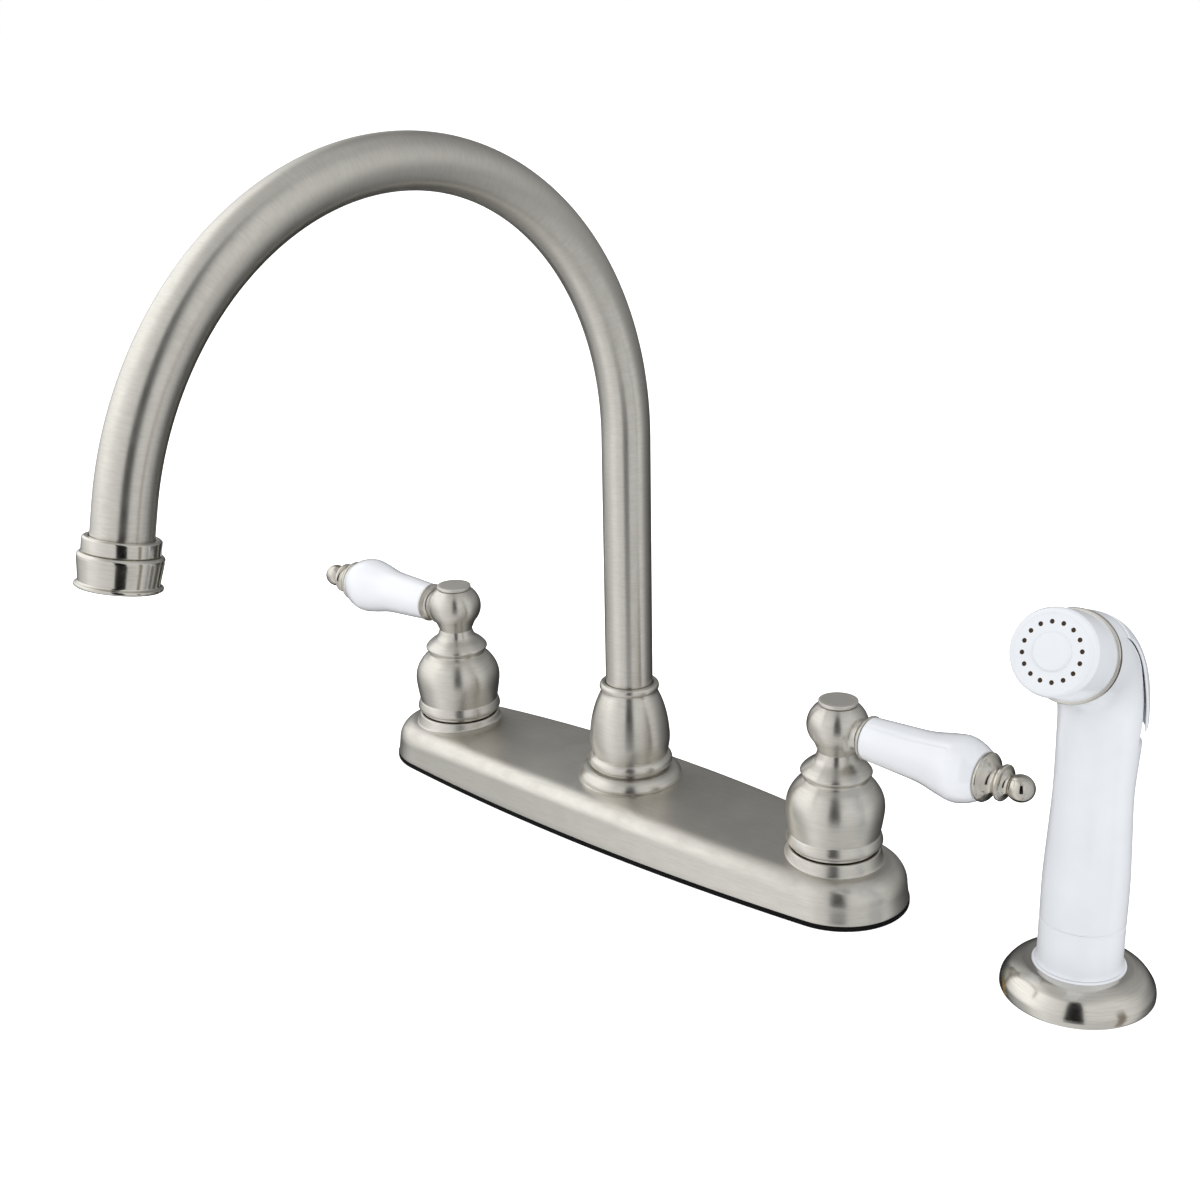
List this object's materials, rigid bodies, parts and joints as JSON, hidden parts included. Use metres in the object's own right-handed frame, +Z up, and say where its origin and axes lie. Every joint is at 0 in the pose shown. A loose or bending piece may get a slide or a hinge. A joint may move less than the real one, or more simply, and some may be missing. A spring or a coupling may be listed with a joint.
{
  "type": "two-handle kitchen faucet with side spray",
  "caption": "Deck-mounted kitchen faucet: bowed base plate, lever handles with porcelain grips, swivelling gooseneck spout with aerator, and a pull-out side spray in its own holder.",
  "frame": {"origin": "on the top of the deck, on the swivel axis of the spout", "axes": "+Z up, -Y towards the sink and the user, -X the hot side, +X the cold side and the side spray"},
  "size_m": [0.4129, 0.2727, 0.3371],
  "materials": {
    "satin_nickel": "satin brushed nickel",
    "polished_nickel": "polished nickel",
    "porcelain": "white glazed porcelain",
    "white_plastic": "glossy white moulded plastic",
    "brass": "machined brass",
    "copper": "drawn copper",
    "steel": "zinc-plated or stainless steel",
    "rubber": "black rubber",
    "acetal": "natural acetal plastic"
  },
  "bodies": {
    "deck": {"deck_plate": "satin_nickel", "base_gasket": "rubber", "hot_shank": "brass", "hot_valve_body": "brass", "hot_cartridge": "acetal", "hot_bonnet_nut": "brass", "hot_mixing_tube": "copper", "hot_mount_washer": "steel", "hot_mount_nut": "brass", "cold_shank": "brass", "cold_valve_body": "brass", "cold_cartridge": "acetal", "cold_bonnet_nut": "brass", "cold_mixing_tube": "copper", "cold_mount_washer": "steel", "cold_mount_nut": "brass", "centre_body": "brass", "spray_outlet_nipple": "brass", "spout_urn": "satin_nickel", "spray_escutcheon": "polished_nickel", "spray_guide": "white_plastic", "spray_guide_nut": "white_plastic"},
    "hot_handle": {"hot_handle_hub": "satin_nickel", "hot_valve_stem": "brass", "hot_handle_screw": "steel", "hot_index_cap": "satin_nickel", "hot_lever_ferrule": "satin_nickel", "hot_lever_grip": "porcelain", "hot_lever_stud": "steel", "hot_lever_finial": "polished_nickel"},
    "cold_handle": {"cold_handle_hub": "satin_nickel", "cold_valve_stem": "brass", "cold_handle_screw": "steel", "cold_index_cap": "satin_nickel", "cold_lever_ferrule": "satin_nickel", "cold_lever_grip": "porcelain", "cold_lever_stud": "steel", "cold_lever_finial": "polished_nickel"},
    "spout": {"spout_tube": "satin_nickel", "spout_spigot": "brass", "spout_bushing": "acetal", "spout_o_ring_lower": "rubber", "spout_o_ring_upper": "rubber", "outlet_collar": "satin_nickel", "aerator_housing": "satin_nickel", "aerator_insert": "acetal", "aerator_washer": "rubber"},
    "diverter": {"diverter_valve": "acetal"},
    "spray_base": {"spray_base_sleeve": "white_plastic", "spray_hose_coupling": "brass"},
    "handset": {"spray_shell": "white_plastic", "spray_trim_ring": "satin_nickel", "spray_nozzle": "white_plastic", "spray_face": "white_plastic", "spray_face_plug": "white_plastic", "trigger_pin": "steel"},
    "trigger": {"spray_trigger": "white_plastic"},
    "plunger": {"trigger_plunger": "acetal"}
  },
  "joints": [
    {"name": "hot_handle_turn", "type": "hinge", "parent": "deck", "child": "hot_handle", "pos_m": [-0.1016, 0, 0.069], "axis": [0, 0, 1], "range_deg": [0, 90]},
    {"name": "cold_handle_turn", "type": "hinge", "parent": "deck", "child": "cold_handle", "pos_m": [0.1016, 0, 0.069], "axis": [0, 0, 1], "range_deg": [-90, 0]},
    {"name": "spout_swivel", "type": "hinge", "parent": "deck", "child": "spout", "pos_m": [0, 0, 0.05], "axis": [0, 0, 1], "continuous": true},
    {"name": "diverter_lift", "type": "slide", "parent": "deck", "child": "diverter", "axis": [0, 0, 1], "range_m": [0, 0.003]},
    {"name": "spray_lift", "type": "slide", "parent": "deck", "child": "spray_base", "axis": [0, 0, 1], "range_m": [0, 0.02]},
    {"name": "spray_turn", "type": "hinge", "parent": "spray_base", "child": "handset", "pos_m": [0.2032, 0, 0.03], "axis": [0, 0, 1], "continuous": true},
    {"name": "trigger_press", "type": "hinge", "parent": "handset", "child": "trigger", "pos_m": [0.20481, -0.01278, 0.1367], "axis": [-0.9921, -0.1253, 0], "range_deg": [0, 4], "stiffness_Nm_per_rad": 0.3, "springref_deg": -5.73},
    {"name": "plunger_slide", "type": "slide", "parent": "handset", "child": "plunger", "axis": [0.1253, -0.9921, 0], "range_m": [0, 0.0025]}
  ],
  "couplings": [
    {"joint": "plunger_slide", "follows": "trigger_press", "m_per_rad": 0.032705}
  ]
}
